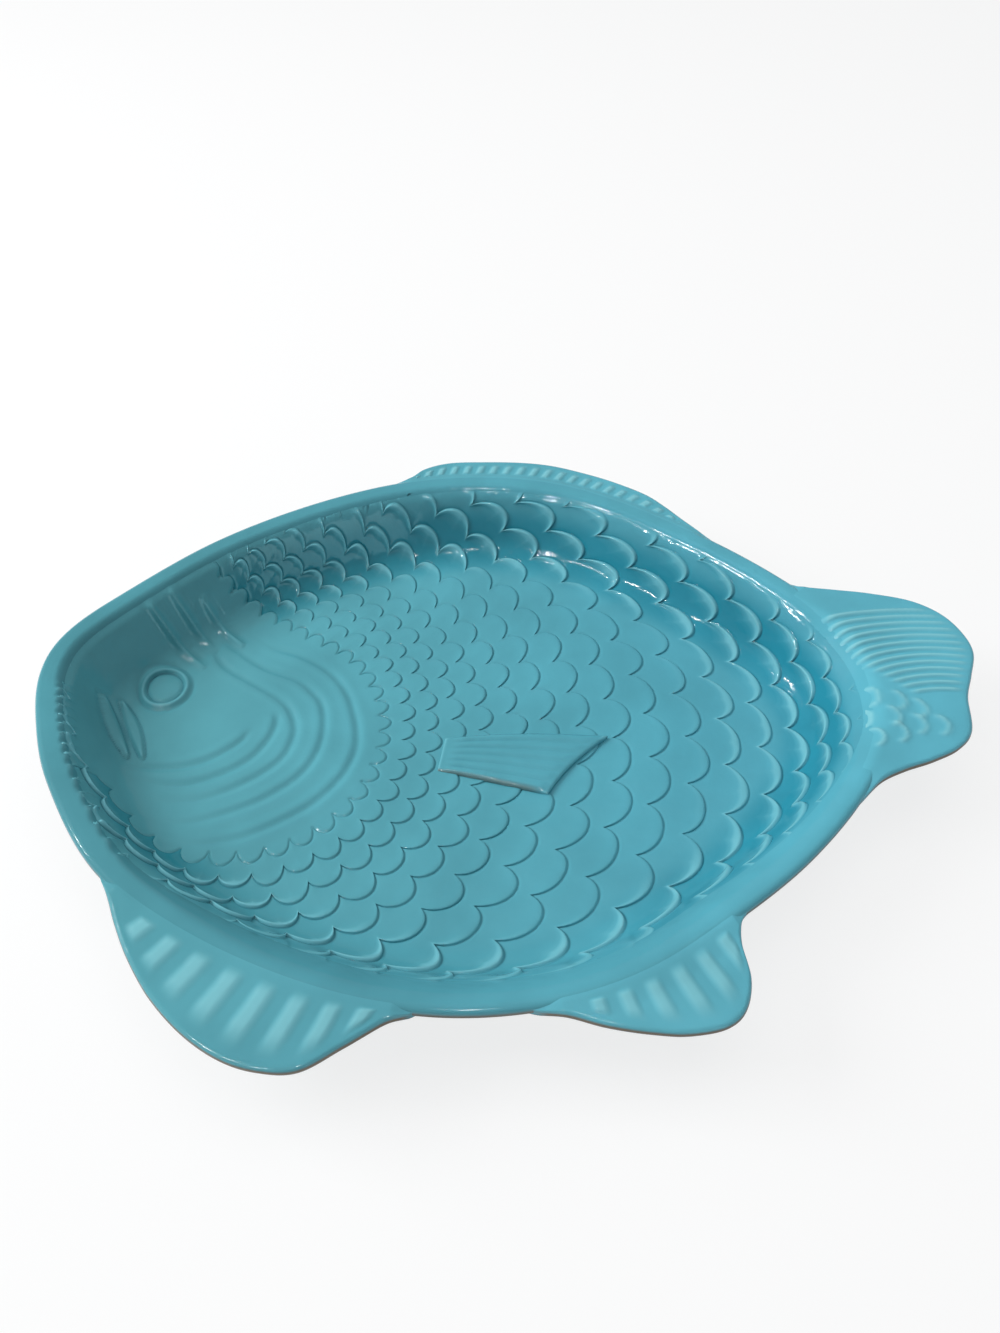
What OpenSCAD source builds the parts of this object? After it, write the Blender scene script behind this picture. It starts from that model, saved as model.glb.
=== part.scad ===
// Fish shaped serving platter: a deep oval well with a rim band, a foot ring, four flat fins on the rim and
// a relief of scales, gill bands, eye and mouth inside.
// Millimetres, +Z up, the head points to -X and the fish's back to +Y.
// The origin lies on the table, under the middle of the platter's outline.

/* [Well] */
// Length of the well at its mouth, from nose to tail
well_length = 361; // [330:1:410]
// Width of the well at its mouth, from belly to back
well_width = 268; // [240:1:300]
// Slope of the wall, measured from the table
wall_slope = 62; // [56:1:68]
// Thickness of the wall, square to its face
wall_thickness = 6; // [4:0.5:8]
// Thickness of the floor
floor_thickness = 6; // [4:0.5:9]
// Radius of the hollow between the floor and the wall
floor_fillet = 16; // [10:1:20]

/* [Rim] */
// Height of the rim's top above the table
rim_height = 44; // [40:1:56]
// Width of the rim band outside the well's mouth
rim_width = 10; // [8:0.5:14]
// Thickness of the rim band
rim_thickness = 6; // [5:0.5:8]
// Radius of the rim band's rounded edges
rim_round = 2.2; // [1:0.1:2.4]

/* [Foot] */
// Height of the foot ring
foot_height = 5; // [3:0.5:8]
// Width of the foot ring
foot_width = 8; // [5:0.5:14]
// Distance from the edge of the flat underside to the foot ring
foot_inset = 2; // [0:0.5:8]

/* [Fins] */
// Thickness of the four fins on the rim
fin_thickness = 5; // [4:0.25:6]
// How far the fins' faces lie below the rim's top
fin_drop = 1.2; // [0.5:0.1:2]
// Reach of the dorsal fin beyond the rim
dorsal_reach = 14; // [8:0.5:22]
// Reach of the tail fin beyond the rim
tail_reach = 50; // [36:1:64]
// Reach of the anal fin beyond the rim
anal_reach = 29; // [18:0.5:38]
// Reach of the pelvic fin beyond the rim
pelvic_reach = 32; // [20:0.5:42]
// Number of rays on the dorsal fin
dorsal_rays = 22; // [12:1:28]
// Number of rays on the tail fin
tail_rays = 13; // [9:1:16]
// Number of rays on the anal fin
anal_rays = 6; // [4:1:8]
// Number of rays on the pelvic fin
pelvic_rays = 8; // [6:1:10]
// Height of the rays above the fins
ray_height = 1; // [0.5:0.1:2]
// Share of the way from one ray to the next that a ray fills, at the rim
ray_share = 0.55; // [0.4:0.05:0.75]

/* [Relief] */
// Height of a scale's free edge
scale_relief = 1.4; // [0.8:0.1:2.2]
// Thickness of a scale where it comes out from under the scale before it
scale_root = 0.4; // [0.3:0.05:0.7]
// Height of the gill bands
gill_relief = 1.8; // [1:0.1:3]
// Height of the ridges on the nape
nape_relief = 1.6; // [1:0.1:2.5]
// Height of the lips
lip_relief = 2; // [1.2:0.1:3]
// Width of a lip
lip_width = 6; // [4:0.5:7]
// Radius of the eye, over its ring
eye_radius = 12; // [9:0.5:13]
// Width of the ring round the eye
eye_ring_width = 3.5; // [2.5:0.25:4.5]
// Height of the eye at its middle
eye_relief = 2.4; // [1.4:0.1:3.5]
// Thickness of the pectoral fin
pectoral_thickness = 2.5; // [1.5:0.25:4]
// Number of rays on the pectoral fin
pectoral_rays = 6; // [4:1:9]

/* [Joints] */
// Gap of the slip joint between a relief piece or a fin and what carries it
seat_gap = 0.3; // [0.2:0.05:0.4]
// Gap between one course of scales and the next
course_gap = 0.4; // [0.3:0.05:0.6]

/* [Hidden] */

glaze = "#4fa3ad";
glaze_light = "#68b6bf";
glaze_dark = "#3f8f9d";
bare_clay = "#d9cdb8";

// The plan is drawn on a sheet, with the middle of the well at zero, and is stretched to the well's size.
// Mouth of the well: from the nose along the back to the tail, and back along the belly.
sheet_mouth = [
    [-181, 12], [-176, 31], [-157, 53], [-121, 86], [-80, 111], [-37, 128], [3, 134], [43, 130], [79, 115],
    [117, 90], [147, 65], [169, 40], [180, 13], [179, -16], [164, -45], [136, -75], [103, -100], [69, -121],
    [33, -132], [-7, -134], [-49, -126], [-95, -107], [-135, -80], [-163, -42], [-176, -12]
];
sheet_x = [for (p = sheet_mouth) p.x];
sheet_y = [for (p = sheet_mouth) p.y];
sheet_to_well = [well_length / (max(sheet_x) - min(sheet_x)), well_width / (max(sheet_y) - min(sheet_y))];
function on_well(p) = [p.x * sheet_to_well.x, p.y * sheet_to_well.y];
mouth_points = [for (p = sheet_mouth) on_well(p)];
mouth_count = len(mouth_points);
steps = 4;

function curve(a, b, c, d, t) =
    (2 * b + (c - a) * t + (2 * a - 5 * b + 4 * c - d) * t * t + (3 * b - a - 3 * c + d) * t * t * t) / 2;
function curve_slope(a, b, c, d, t) =
    ((c - a) + 2 * (2 * a - 5 * b + 4 * c - d) * t + 3 * (3 * b - a - 3 * c + d) * t * t) / 2;
function unit(v) = v / norm(v);
function right_of(v) = [v.y, -v.x];
function mix(a, b, share) = a + (b - a) * share;

// A station counts along the mouth: station 3.5 is half way from point 3 to point 4.
function mouth_point(i) = mouth_points[(i + mouth_count) % mouth_count];
function mouth_at(station) =
    let (i = floor(station))
    curve(mouth_point(i - 1), mouth_point(i), mouth_point(i + 1), mouth_point(i + 2), station - i);
function outward_at(station) =
    let (i = floor(station))
    -right_of(unit(curve_slope(
        mouth_point(i - 1), mouth_point(i), mouth_point(i + 1), mouth_point(i + 2), station - i)));
function rim_at(station, reach) = mouth_at(station) + outward_at(station) * (rim_width + reach);

stations = [for (i = [0:mouth_count * steps - 1]) i / steps];
mouth = [for (s = stations) mouth_at(s)];
outward = [for (s = stations) outward_at(s)];
hub = [0, mouth_points[0].y];
inward = [for (p = mouth) unit(hub - p)];
lean = [for (i = [0:len(mouth) - 1]) -inward[i] * outward[i]];

// Outline of the mouth moved inwards, or outwards where the inset is negative.
function ring(inset) = [
    for (i = [0:len(mouth) - 1])
        inset > 0 ? mouth[i] + inward[i] * inset / lean[i] : mouth[i] - outward[i] * inset
];

// Section of the wall, as [inset from the mouth, height].
floor_top = foot_height + floor_thickness;
rim_under = rim_height - rim_thickness;
fillet_steps = 4;
outer_fillet = floor_fillet + wall_thickness;
function wall_inset(z, offset) = (offset - (z - rim_height) * cos(wall_slope)) / sin(wall_slope);
inner_centre = [wall_inset(floor_top + floor_fillet, floor_fillet), floor_top + floor_fillet];
outer_centre = [wall_inset(foot_height + outer_fillet, floor_fillet), foot_height + outer_fillet];
function fillet_arc(centre, radius) = [
    for (k = [0:fillet_steps])
        let (turn = wall_slope * k / fillet_steps)
        centre - radius * [sin(turn), cos(turn)]
];
inner_section = concat(fillet_arc(inner_centre, floor_fillet), [[wall_inset(rim_under, 0), rim_under]]);
outer_section = concat(
    fillet_arc(outer_centre, outer_fillet), [[wall_inset(rim_under, -wall_thickness), rim_under]]);
function reversed(list) = [for (i = [len(list) - 1:-1:0]) list[i]];

// Height and direction of the well's inner face at a point of the plan.
angles = [for (i = [0:len(mouth) - 1]) let (d = mouth[i] - hub) i == 0 ? 180 : atan2(d.y, d.x)];
last = len(mouth) - 1;
mouth_radius = concat([[-180, norm(mouth[0] - hub)]],
    [for (i = [last:-1:0]) [angles[i], norm(mouth[i] - hub)]]);
mouth_lean = concat([[-180, lean[0]]], [for (i = [last:-1:0]) [angles[i], lean[i]]]);
wall_height = reversed(inner_section);
function inset_at(p) =
    let (d = p - hub, angle = atan2(d.y, d.x))
    (lookup(angle, mouth_radius) - norm(d)) * lookup(angle, mouth_lean);
function well_height(p) = lookup(inset_at(p), wall_height);
probe = 0.2;
function well_normal(p) = unit([
    (well_height(p - [probe, 0]) - well_height(p + [probe, 0])) / (2 * probe),
    (well_height(p - [0, probe]) - well_height(p + [0, probe])) / (2 * probe),
    1
]);
function lifted(p, height) = [p.x, p.y, well_height(p)] + well_normal(p) * height;

// The relief is drawn with the wall laid flat. Each point of it moves to its place up the wall.
fillet_run = floor_fillet * wall_slope * PI / 180;
function up_the_wall(p) =
    let (
        d = p - hub,
        run = inner_centre.x - inset_at(p),
        turn = min(run, fillet_run) / floor_fillet * 180 / PI,
        saved = run - floor_fillet * sin(turn) - max(run - fillet_run, 0) * cos(wall_slope)
    )
    run > 0 ? p - unit(d) * saved / lookup(atan2(d.y, d.x), mouth_lean) : p;

// Relief stops this far inside the top of the wall, so that it stays clear of the rim band.
relief_margin = 1.5;
relief_inset = wall_inset(rim_under, 0) + relief_margin;
function in_well(p) = inset_at(p) > relief_inset;

// Closed skin through loops that run the way of the mouth, from the floor over the wall to the underside.
module loft(loops, closed) {
    n = len(loops[0]);
    points = [for (loop = loops, p = loop) p];
    passes = closed ? len(loops) : len(loops) - 1;
    sides = [
        for (j = [0:passes - 1], i = [0:n - 1])
            let (a = j * n, b = (j + 1) % len(loops) * n, next = (i + 1) % n)
            each [[a + i, b + i, b + next], [a + i, b + next, a + next]]
    ];
    caps = closed ? [] : [
        [for (i = [0:n - 1]) i],
        [for (i = [n - 1:-1:0]) (len(loops) - 1) * n + i]
    ];
    polyhedron(points, concat(sides, caps), convexity = 6);
}

// Pads are closed plates. A pad is [top, bottom, closed]: two grids of points whose columns run to the right
// of the way their rows go. A closed pad joins its last row to its first.
function pad_points(pad) = [for (grid = [pad[0], pad[1]], row = grid, p = row) p];
function pad_faces(pad, base) =
    let (
        rows = len(pad[0]),
        cols = len(pad[0][0]),
        low = base + rows * cols,
        passes = pad[2] ? rows : rows - 1,
        cells = [
            for (i = [0:passes - 1], j = [0:cols - 2])
                let (a = i * cols + j, b = (i + 1) % rows * cols + j)
                each [
                    [base + a, base + b, base + b + 1], [base + a, base + b + 1, base + a + 1],
                    [low + a, low + b + 1, low + b], [low + a, low + a + 1, low + b + 1]
                ]
        ],
        edges = [
            for (i = [0:passes - 1])
                let (a = i * cols, b = (i + 1) % rows * cols, end = cols - 1)
                each [
                    [base + b, base + a, low + a], [base + b, low + a, low + b],
                    [base + a + end, base + b + end, low + b + end],
                    [base + a + end, low + b + end, low + a + end]
                ]
        ],
        far = (rows - 1) * cols,
        ends = pad[2] ? [] : [
            for (j = [0:cols - 2]) each [
                [base + j, base + j + 1, low + j + 1], [base + j, low + j + 1, low + j],
                [base + far + j + 1, base + far + j, low + far + j],
                [base + far + j + 1, low + far + j, low + far + j + 1]
            ]
        ]
    )
    concat(cells, edges, ends);
function pad_size(pad) = 2 * len(pad[0]) * len(pad[0][0]);
module pads(list) {
    bases = [for (i = 0, base = 0; i < len(list); base = base + pad_size(list[i]), i = i + 1) base];
    points = [for (pad = list) each pad_points(pad)];
    faces = [for (i = [0:len(list) - 1]) each pad_faces(list[i], bases[i])];
    polyhedron(points, faces, convexity = 8);
}

// Pad that follows the well's inner face. The grid holds [point of the plan, height of the pad there].
function well_pad(grid, closed = false) = [
    [for (row = grid) [for (g = row) lifted(g[0], seat_gap + g[1])]],
    [for (row = grid) [for (g = row) lifted(g[0], seat_gap)]],
    closed
];
// Rounded ridge along a path of plan points, with a width that swells from its ends.
ridge_edge = 0.5;
ridge_tip = 0.35;
function path_heading(path, i) = unit(path[min(i + 1, len(path) - 1)] - path[max(i - 1, 0)]);
function swell(share) = mix(ridge_tip, 1, sqrt(sin(180 * share)));
function ridge(path, width, height) = well_pad([
    for (i = [0:len(path) - 1])
        let (
            side = right_of(path_heading(path, i)) * width / 2 * swell(i / (len(path) - 1)),
            crown = mix(ridge_edge, height, swell(i / (len(path) - 1)))
        )
        [[path[i] - side, ridge_edge], [path[i], crown], [path[i] + side, ridge_edge]]
]);
function open_curve(points, count) =
    let (
        n = len(points) - 1,
        full = concat([2 * points[0] - points[1]], points, [2 * points[n] - points[n - 1]])
    )
    concat([
        for (i = [0:n - 1], k = [0:count - 1])
            curve(full[i], full[i + 1], full[i + 2], full[i + 3], k / count)
    ], [points[n]]);

// Fins: the edge of each is drawn as [station, share of the fin's reach].
fin_top = rim_height - fin_drop;
edge_steps = 3;
dorsal_edge = [
    [4.95, 4], [5.25, 30], [5.45, 68], [5.75, 90], [6.2, 92], [6.85, 100], [7.3, 95], [7.75, 93], [8.15, 86],
    [8.4, 66], [8.65, 42], [8.95, 20], [9.25, 5]
];
tail_edge = [
    [9.95, 1], [10.25, 3], [10.45, 10], [10.75, 32], [11.05, 59], [11.3, 81], [11.55, 95], [11.8, 100],
    [12, 98], [12.25, 85], [12.5, 74], [12.85, 71], [13.05, 60], [13.25, 42], [13.5, 21], [13.8, 7], [14.2, 2]
];
anal_edge = [
    [15.75, 3], [15.95, 8], [16.1, 28], [16.25, 68], [16.45, 94], [16.65, 100], [16.9, 87], [17.2, 63],
    [17.5, 39], [17.8, 16], [18.15, 3]
];
pelvic_edge = [
    [19.1, 3], [19.35, 17], [19.6, 48], [19.85, 84], [20.1, 97], [20.35, 100], [20.65, 92], [21, 73],
    [21.3, 51], [21.55, 29], [21.75, 12], [21.95, 3]
];
function fin_curve(edge, reach) = [
    for (e = open_curve(edge, edge_steps)) [e[0], max(e[1] * reach / 100, 2 * seat_gap)]
];
function fin_outline(edge, reach) =
    let (
        line = fin_curve(edge, reach),
        start = line[0][0],
        end = line[len(line) - 1][0],
        root = concat([end], [for (s = reversed(stations)) if (s > start && s < end) s], [start])
    )
    concat([for (e = line) rim_at(e[0], e[1])], [for (s = root) rim_at(s, seat_gap)]);
module fin_plate(edge, reach) {
    translate([0, 0, fin_top - fin_thickness])
        linear_extrude(fin_thickness)
            polygon(fin_outline(edge, reach));
}

// Rays fan from the rim to the fin's edge. Each is widest at its middle and lies flat on the fin.
// Their roots lie between two stations, and their tips a slant further on.
dorsal_ray_span = [5.2, 8.75];
dorsal_ray_slant = 0.1;
tail_ray_span = [10.7, 13.25];
tail_ray_slant = 0;
anal_ray_span = [16.1, 17.65];
anal_ray_slant = 0;
pelvic_ray_span = [19.35, 21.45];
pelvic_ray_slant = 0.1;
ray_root = 1.5;
ray_margin = 2.5;
ray_waist = 0.45;
ray_steps = 3;
function ray_pad(from, to, width, base) =
    let (
        side = right_of(unit(to - from)) * width / 2,
        rows = [
            for (k = [0:ray_steps])
                let (share = k == 0 || k == ray_steps ? ray_waist : 1)
                [mix(from, to, k / ray_steps), side * share, ray_height * share]
        ]
    )
    [
        [for (r = rows) [for (s = [-1, 0, 1])
            concat(r[0] + s * r[1], base + (s == 0 ? r[2] : r[2] * ray_waist))]],
        [for (r = rows) [for (s = [-1, 0, 1]) concat(r[0] + s * r[1], base)]],
        false
    ];
function fin_rays(edge, reach, span, slant, count) =
    let (
        line = fin_curve(edge, reach),
        pitch = (span[1] - span[0]) / count,
        width = norm(rim_at(span[0] + pitch, ray_root) - rim_at(span[0], ray_root)) * ray_share
    )
    [
        for (i = [0:count - 1])
            let (s = span[0] + (i + 0.5) * pitch, tip = lookup(s + slant, line) - ray_margin)
            if (tip > ray_root + ray_margin)
                ray_pad(rim_at(s, ray_root), rim_at(s + slant, tip), width, fin_top)
    ];

// Scale net: u counts the courses from the gills to the tail and v the scales along a course.
// All courses run round the gills. Each row gives one as
// [radius, turn of its middle, turn from scale to scale, spread below, lean above, swing, end of the bend].
gill_centre = [-99, -2];
course_every = 4;
course_rows = [
    [66, 2, 8.6, 0.016, 0, 6, 55],
    [115, 1.6, 7.6, 0.028, 0.05, 2, 55],
    [179.5, 7.4, 7.4, 0.018, 0.055, 0, 55],
    [247, 4, 5.9, 0, 0.04, 0, 60],
    [300, 1.5, 3.8, 0, 0, 0, 60]
];
row_count = len(course_rows);
course_net = concat(
    [2 * course_rows[0] - course_rows[1]],
    course_rows,
    [2 * course_rows[row_count - 1] - course_rows[row_count - 2]]
);
// A line bends round the gills. Its lower arm swings outwards and its upper arm runs out straight.
swing_turn = 130;
swing_power = 4;
function bend(radius, swing, bend_end, turn, past) =
    let (
        bent = min(turn, bend_end),
        run = past + (turn - bent) * radius * PI / 180,
        reach = radius + (bent < 0 ? swing * pow(bent / swing_turn, swing_power) : 0)
    )
    up_the_wall(on_well(gill_centre + reach * [cos(bent), sin(bent)] + run * [-sin(bent), cos(bent)]));
// Above its middle a course leans in towards the gills.
lean_turn = 40;
function net_point(u, v) =
    let (
        k = min(floor(u / course_every), row_count - 2),
        c = curve(course_net[k], course_net[k + 1], course_net[k + 2], course_net[k + 3], u / course_every - k),
        turn = c[1] + c[2] * v * (1 + c[3] * max(-v, 0)),
        lean = c[4] * min(max(turn / lean_turn, 0), 1)
    )
    bend(c[0] * (1 - lean), c[5], c[6], turn, 0);

// Free edge of a course: a scallop for each scale, with neighbouring courses half a scale apart.
scallop_depth = 0.55;
scallop_round = 0.92;
scale_steps = 6;
longest_course = 20;
function scallop(k, v) =
    let (at = v + ((k + 1) % 2) / 2, t = 2 * abs(at - round(at)))
    (1 - sqrt(1 - scallop_round * t * t)) / (1 - sqrt(1 - scallop_round));
function free_edge(k, v) = net_point(k == 0 ? 0 : k - scallop_depth * scallop(k, v), v);
// A course is cut off where it runs up to the rim band, on either edge, and ends where it gets too narrow.
narrowest_course = 1.4;
function share_in_well(from, to) = (inset_at(from) - relief_inset) / (inset_at(from) - inset_at(to));
function course_row(k, v) =
    let (
        edge = free_edge(k, v),
        under = free_edge(k - 1, v),
        root = under + unit(edge - under) * course_gap,
        low = in_well(root) ? 0 : 1 - share_in_well(edge, root),
        high = in_well(edge) ? 1 : share_in_well(root, edge)
    )
    [for (share = [low, high]) [mix(root, edge, share), mix(scale_root, scale_relief, share)]];
function course_fits(k, v) =
    let (row = course_row(k, v), held = in_well(free_edge(k - 1, v)) || in_well(free_edge(k, v)))
    held && norm(row[1][0] - row[0][0]) > narrowest_course;
function reach_of(k, way) = [
    for (i = 1; i < longest_course * scale_steps && course_fits(k, way * i / scale_steps); i = i + 1)
        way * i / scale_steps
];
function course(k) = well_pad([
    for (v = concat(reversed(reach_of(k, -1)), [0], reach_of(k, 1))) course_row(k, v)
]);
shoulder_courses = [1:5];
flank_courses = [6:10];
tail_courses = [11:15];
module scales(courses) {
    pads([for (k = courses) course(k)]);
}

// Gill bands nest inside the first course, between lines of these radii. Behind the first one, each band
// runs on as a straight ridge up the nape.
gill_swing = course_rows[0][5];
gill_bend = course_rows[0][6];
gill_radii = [3, 12, 22, 33, 47, 65];
gill_first_turn = -136;
gill_steps = 14;
gill_valley = 1.6;
nape_runs = [80, 78, 74, 70];
nape_steps = 6;
function gill_point(radius, turn, past) = bend(radius, gill_swing, gill_bend, turn, past);
function band_row(i, turn, past, crown) = [
    [gill_point(gill_radii[i] + gill_valley / 2, turn, past), ridge_edge],
    [gill_point((gill_radii[i] + gill_radii[i + 1]) / 2, turn, past), crown],
    [gill_point(gill_radii[i + 1] - gill_valley / 2, turn, past), ridge_edge]
];
function rows_in_well(rows) = [for (row = rows) if (in_well(row[0][0]) && in_well(row[2][0])) row];
function gill_band(i) = well_pad(rows_in_well([
    for (k = [0:gill_steps])
        let (share = k / gill_steps)
        band_row(i, mix(gill_first_turn, gill_bend, share), 0, mix(ridge_edge, gill_relief, swell(share / 2)))
]));
function nape_ridge(i) = well_pad(rows_in_well([
    for (k = [0:nape_steps])
        let (share = k / nape_steps)
        band_row(i, gill_bend, mix(course_gap, nape_runs[i - 1], share),
            mix(ridge_edge, nape_relief, swell((1 + share) / 2)))
]));

eye_centre = on_well([-144, 25]);
upper_lip_line = [[-170, 15], [-163, 3], [-153, -14]];
lower_lip_line = [[-161, 14], [-152, 2], [-145, -12]];
lip_steps = 4;
eye_gap = 0.8;
eye_ball_radius = eye_radius - eye_ring_width - eye_gap;
eye_ring_relief = 0.8;
eye_steps = 28;
ball_steps = 6;

// Pectoral fin: a flat plate on top of the scales.
pectoral_root = [on_well([-7, -4]), on_well([-10, -22])];
pectoral_tip = [on_well([69, -4]), on_well([40, -35])];
pectoral_under = floor_top + scale_relief + 2 * seat_gap;
pectoral_top = pectoral_under + pectoral_thickness;
pectoral_ray_share = 0.62;
pectoral_ray_ends = [0.05, 0.95];

// The outline's middle goes to the origin.
outline = concat(ring(-rim_width), fin_outline(dorsal_edge, dorsal_reach), fin_outline(tail_edge, tail_reach),
    fin_outline(anal_edge, anal_reach), fin_outline(pelvic_edge, pelvic_reach));
outline_x = [for (p = outline) p.x];
outline_y = [for (p = outline) p.y];
middle = [(min(outline_x) + max(outline_x)) / 2, (min(outline_y) + max(outline_y)) / 2];
module centred() {
    translate([-middle.x, -middle.y, 0])
        children();
}

function section_loops(section) = [for (s = section) [for (p = ring(s[0])) concat(p, s[1])]];

module dish_body() {
    color(glaze)
        centred()
            loft(section_loops(concat(inner_section, reversed(outer_section))), false);
}

module rim_band() {
    round_steps = 2;
    roll = [-rim_round * tan(wall_slope / 2), rim_height - rim_round];
    edge_top = [rim_round - rim_width, rim_height - rim_round];
    edge_low = [rim_round - rim_width, rim_under + rim_round];
    corners = [[roll, 90 - wall_slope, 90], [edge_top, 90, 180], [edge_low, 180, 270]];
    section = concat(
        [[wall_inset(rim_under, 0), rim_under]],
        [
            for (c = corners, k = [0:round_steps])
                let (turn = mix(c[1], c[2], k / round_steps))
                c[0] + rim_round * [cos(turn), sin(turn)]
        ]
    );
    color(glaze_light)
        centred()
            loft(section_loops(section), true);
}

module foot_ring() {
    foot_outside = outer_centre.x + foot_inset;
    color(bare_clay)
        centred()
            linear_extrude(foot_height)
                difference() {
                    polygon(ring(foot_outside));
                    polygon(ring(foot_outside + foot_width));
                }
}

module dorsal_fin() {
    color(glaze)
        centred()
            fin_plate(dorsal_edge, dorsal_reach);
}

module dorsal_fin_rays() {
    color(glaze_light)
        centred()
            pads(fin_rays(dorsal_edge, dorsal_reach, dorsal_ray_span, dorsal_ray_slant, dorsal_rays));
}

module tail_fin() {
    color(glaze)
        centred()
            fin_plate(tail_edge, tail_reach);
}

module tail_fin_rays() {
    color(glaze_light)
        centred()
            pads(fin_rays(tail_edge, tail_reach, tail_ray_span, tail_ray_slant, tail_rays));
}

module anal_fin() {
    color(glaze)
        centred()
            fin_plate(anal_edge, anal_reach);
}

module anal_fin_rays() {
    color(glaze_light)
        centred()
            pads(fin_rays(anal_edge, anal_reach, anal_ray_span, anal_ray_slant, anal_rays));
}

module pelvic_fin() {
    color(glaze)
        centred()
            fin_plate(pelvic_edge, pelvic_reach);
}

module pelvic_fin_rays() {
    color(glaze_light)
        centred()
            pads(fin_rays(pelvic_edge, pelvic_reach, pelvic_ray_span, pelvic_ray_slant, pelvic_rays));
}

module pectoral_fin() {
    color(glaze_dark)
        centred()
            translate([0, 0, pectoral_under])
                linear_extrude(pectoral_thickness)
                    polygon([pectoral_root[0], pectoral_tip[0], pectoral_tip[1], pectoral_root[1]]);
}

module pectoral_fin_rays() {
    ray_width = norm(pectoral_root[1] - pectoral_root[0]) / pectoral_rays * pectoral_ray_share;
    rays = [
        for (i = [0:pectoral_rays - 1])
            let (
                share = (i + 0.5) / pectoral_rays,
                root = mix(pectoral_root[0], pectoral_root[1], share),
                tip = mix(pectoral_tip[0], pectoral_tip[1], share)
            )
            ray_pad(mix(root, tip, pectoral_ray_ends[0]), mix(root, tip, pectoral_ray_ends[1]),
                ray_width, pectoral_top)
    ];
    color(glaze_light)
        centred()
            pads(rays);
}

module eye_ring() {
    ring_inside = eye_radius - eye_ring_width;
    grid = [
        for (i = [0:eye_steps - 1])
            let (turn = -360 * i / eye_steps, way = [cos(turn), sin(turn)])
            [
                [eye_centre + eye_radius * way, ridge_edge],
                [eye_centre + (eye_radius + ring_inside) / 2 * way, eye_relief * eye_ring_relief],
                [eye_centre + ring_inside * way, ridge_edge]
            ]
    ];
    color(glaze_light)
        centred()
            pads([well_pad(grid, true)]);
}

module eye_ball() {
    spots = [for (k = [0:ball_steps]) 2 * k / ball_steps - 1];
    grid = [
        for (b = spots) [
            for (a = spots)
                let (disc = [a * sqrt(1 - b * b / 2), b * sqrt(1 - a * a / 2)])
                [
                    eye_centre + eye_ball_radius * disc,
                    mix(eye_relief, ridge_edge, min(disc * disc, 1))
                ]
        ]
    ];
    color(glaze_dark)
        centred()
            pads([well_pad(grid)]);
}

module upper_lip() {
    line = [for (p = upper_lip_line) on_well(p)];
    color(glaze_light)
        centred()
            pads([ridge(open_curve(line, lip_steps), lip_width, lip_relief)]);
}

module lower_lip() {
    line = [for (p = lower_lip_line) on_well(p)];
    color(glaze_light)
        centred()
            pads([ridge(open_curve(line, lip_steps), lip_width, lip_relief)]);
}

module gill_bands() {
    color(glaze_dark)
        centred()
            pads([for (i = [0:len(gill_radii) - 2]) gill_band(i)]);
}

module nape_ridges() {
    color(glaze_dark)
        centred()
            pads([for (i = [1:len(gill_radii) - 2]) nape_ridge(i)]);
}

module shoulder_scales() {
    color(glaze)
        centred()
            scales(shoulder_courses);
}

module flank_scales() {
    color(glaze_light)
        centred()
            scales(flank_courses);
}

module tail_scales() {
    color(glaze)
        centred()
            scales(tail_courses);
}

dish_body();
rim_band();
foot_ring();
dorsal_fin();
dorsal_fin_rays();
tail_fin();
tail_fin_rays();
anal_fin();
anal_fin_rays();
pelvic_fin();
pelvic_fin_rays();
pectoral_fin();
pectoral_fin_rays();
eye_ring();
eye_ball();
upper_lip();
lower_lip();
gill_bands();
nape_ridges();
shoulder_scales();
flank_scales();
tail_scales();
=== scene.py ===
import math

import bmesh
import bpy
import numpy as np
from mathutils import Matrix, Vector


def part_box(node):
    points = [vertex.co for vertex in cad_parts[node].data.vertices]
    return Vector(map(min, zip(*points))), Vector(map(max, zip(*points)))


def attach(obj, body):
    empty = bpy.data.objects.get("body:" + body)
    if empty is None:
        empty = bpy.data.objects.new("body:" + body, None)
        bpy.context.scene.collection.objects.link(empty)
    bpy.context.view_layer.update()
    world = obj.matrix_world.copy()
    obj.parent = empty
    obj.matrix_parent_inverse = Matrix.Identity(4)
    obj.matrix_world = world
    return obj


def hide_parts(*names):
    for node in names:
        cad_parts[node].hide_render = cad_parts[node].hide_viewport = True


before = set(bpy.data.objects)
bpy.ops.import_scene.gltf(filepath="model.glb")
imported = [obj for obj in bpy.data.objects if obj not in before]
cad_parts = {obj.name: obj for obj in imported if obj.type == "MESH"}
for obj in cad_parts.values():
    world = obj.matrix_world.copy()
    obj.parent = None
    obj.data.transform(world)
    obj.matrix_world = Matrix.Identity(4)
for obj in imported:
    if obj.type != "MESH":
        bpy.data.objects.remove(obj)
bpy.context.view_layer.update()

# Plan of the platter in millimetres, on a sheet with the middle of the well at zero.
MOUTH = np.array([
    (-181, 12), (-176, 31), (-157, 53), (-121, 86), (-80, 111), (-37, 128), (3, 134), (43, 130), (79, 115),
    (117, 90), (147, 65), (169, 40), (180, 13), (179, -16), (164, -45), (136, -75), (103, -100), (69, -121),
    (33, -132), (-7, -134), (-49, -126), (-95, -107), (-135, -80), (-163, -42), (-176, -12)], float)
RIM_HEIGHT = 44.0
RIM_WIDTH = 10.0
WALL_SLOPE = math.radians(62)
FLOOR_TOP = 11.0
FLOOR_FILLET = 16.0
FOOT_HEIGHT = 5.0
FIN_TOP = 42.8
FIN_THICKNESS = 5.0
HUB = np.array([0.0, 12.0])


def spline(a, b, c, d, t):
    bend, twist = 2 * a - 5 * b + 4 * c - d, 3 * b - a - 3 * c + d
    return (2 * b + (c - a) * t + bend * t ** 2 + twist * t ** 3) / 2


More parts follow.
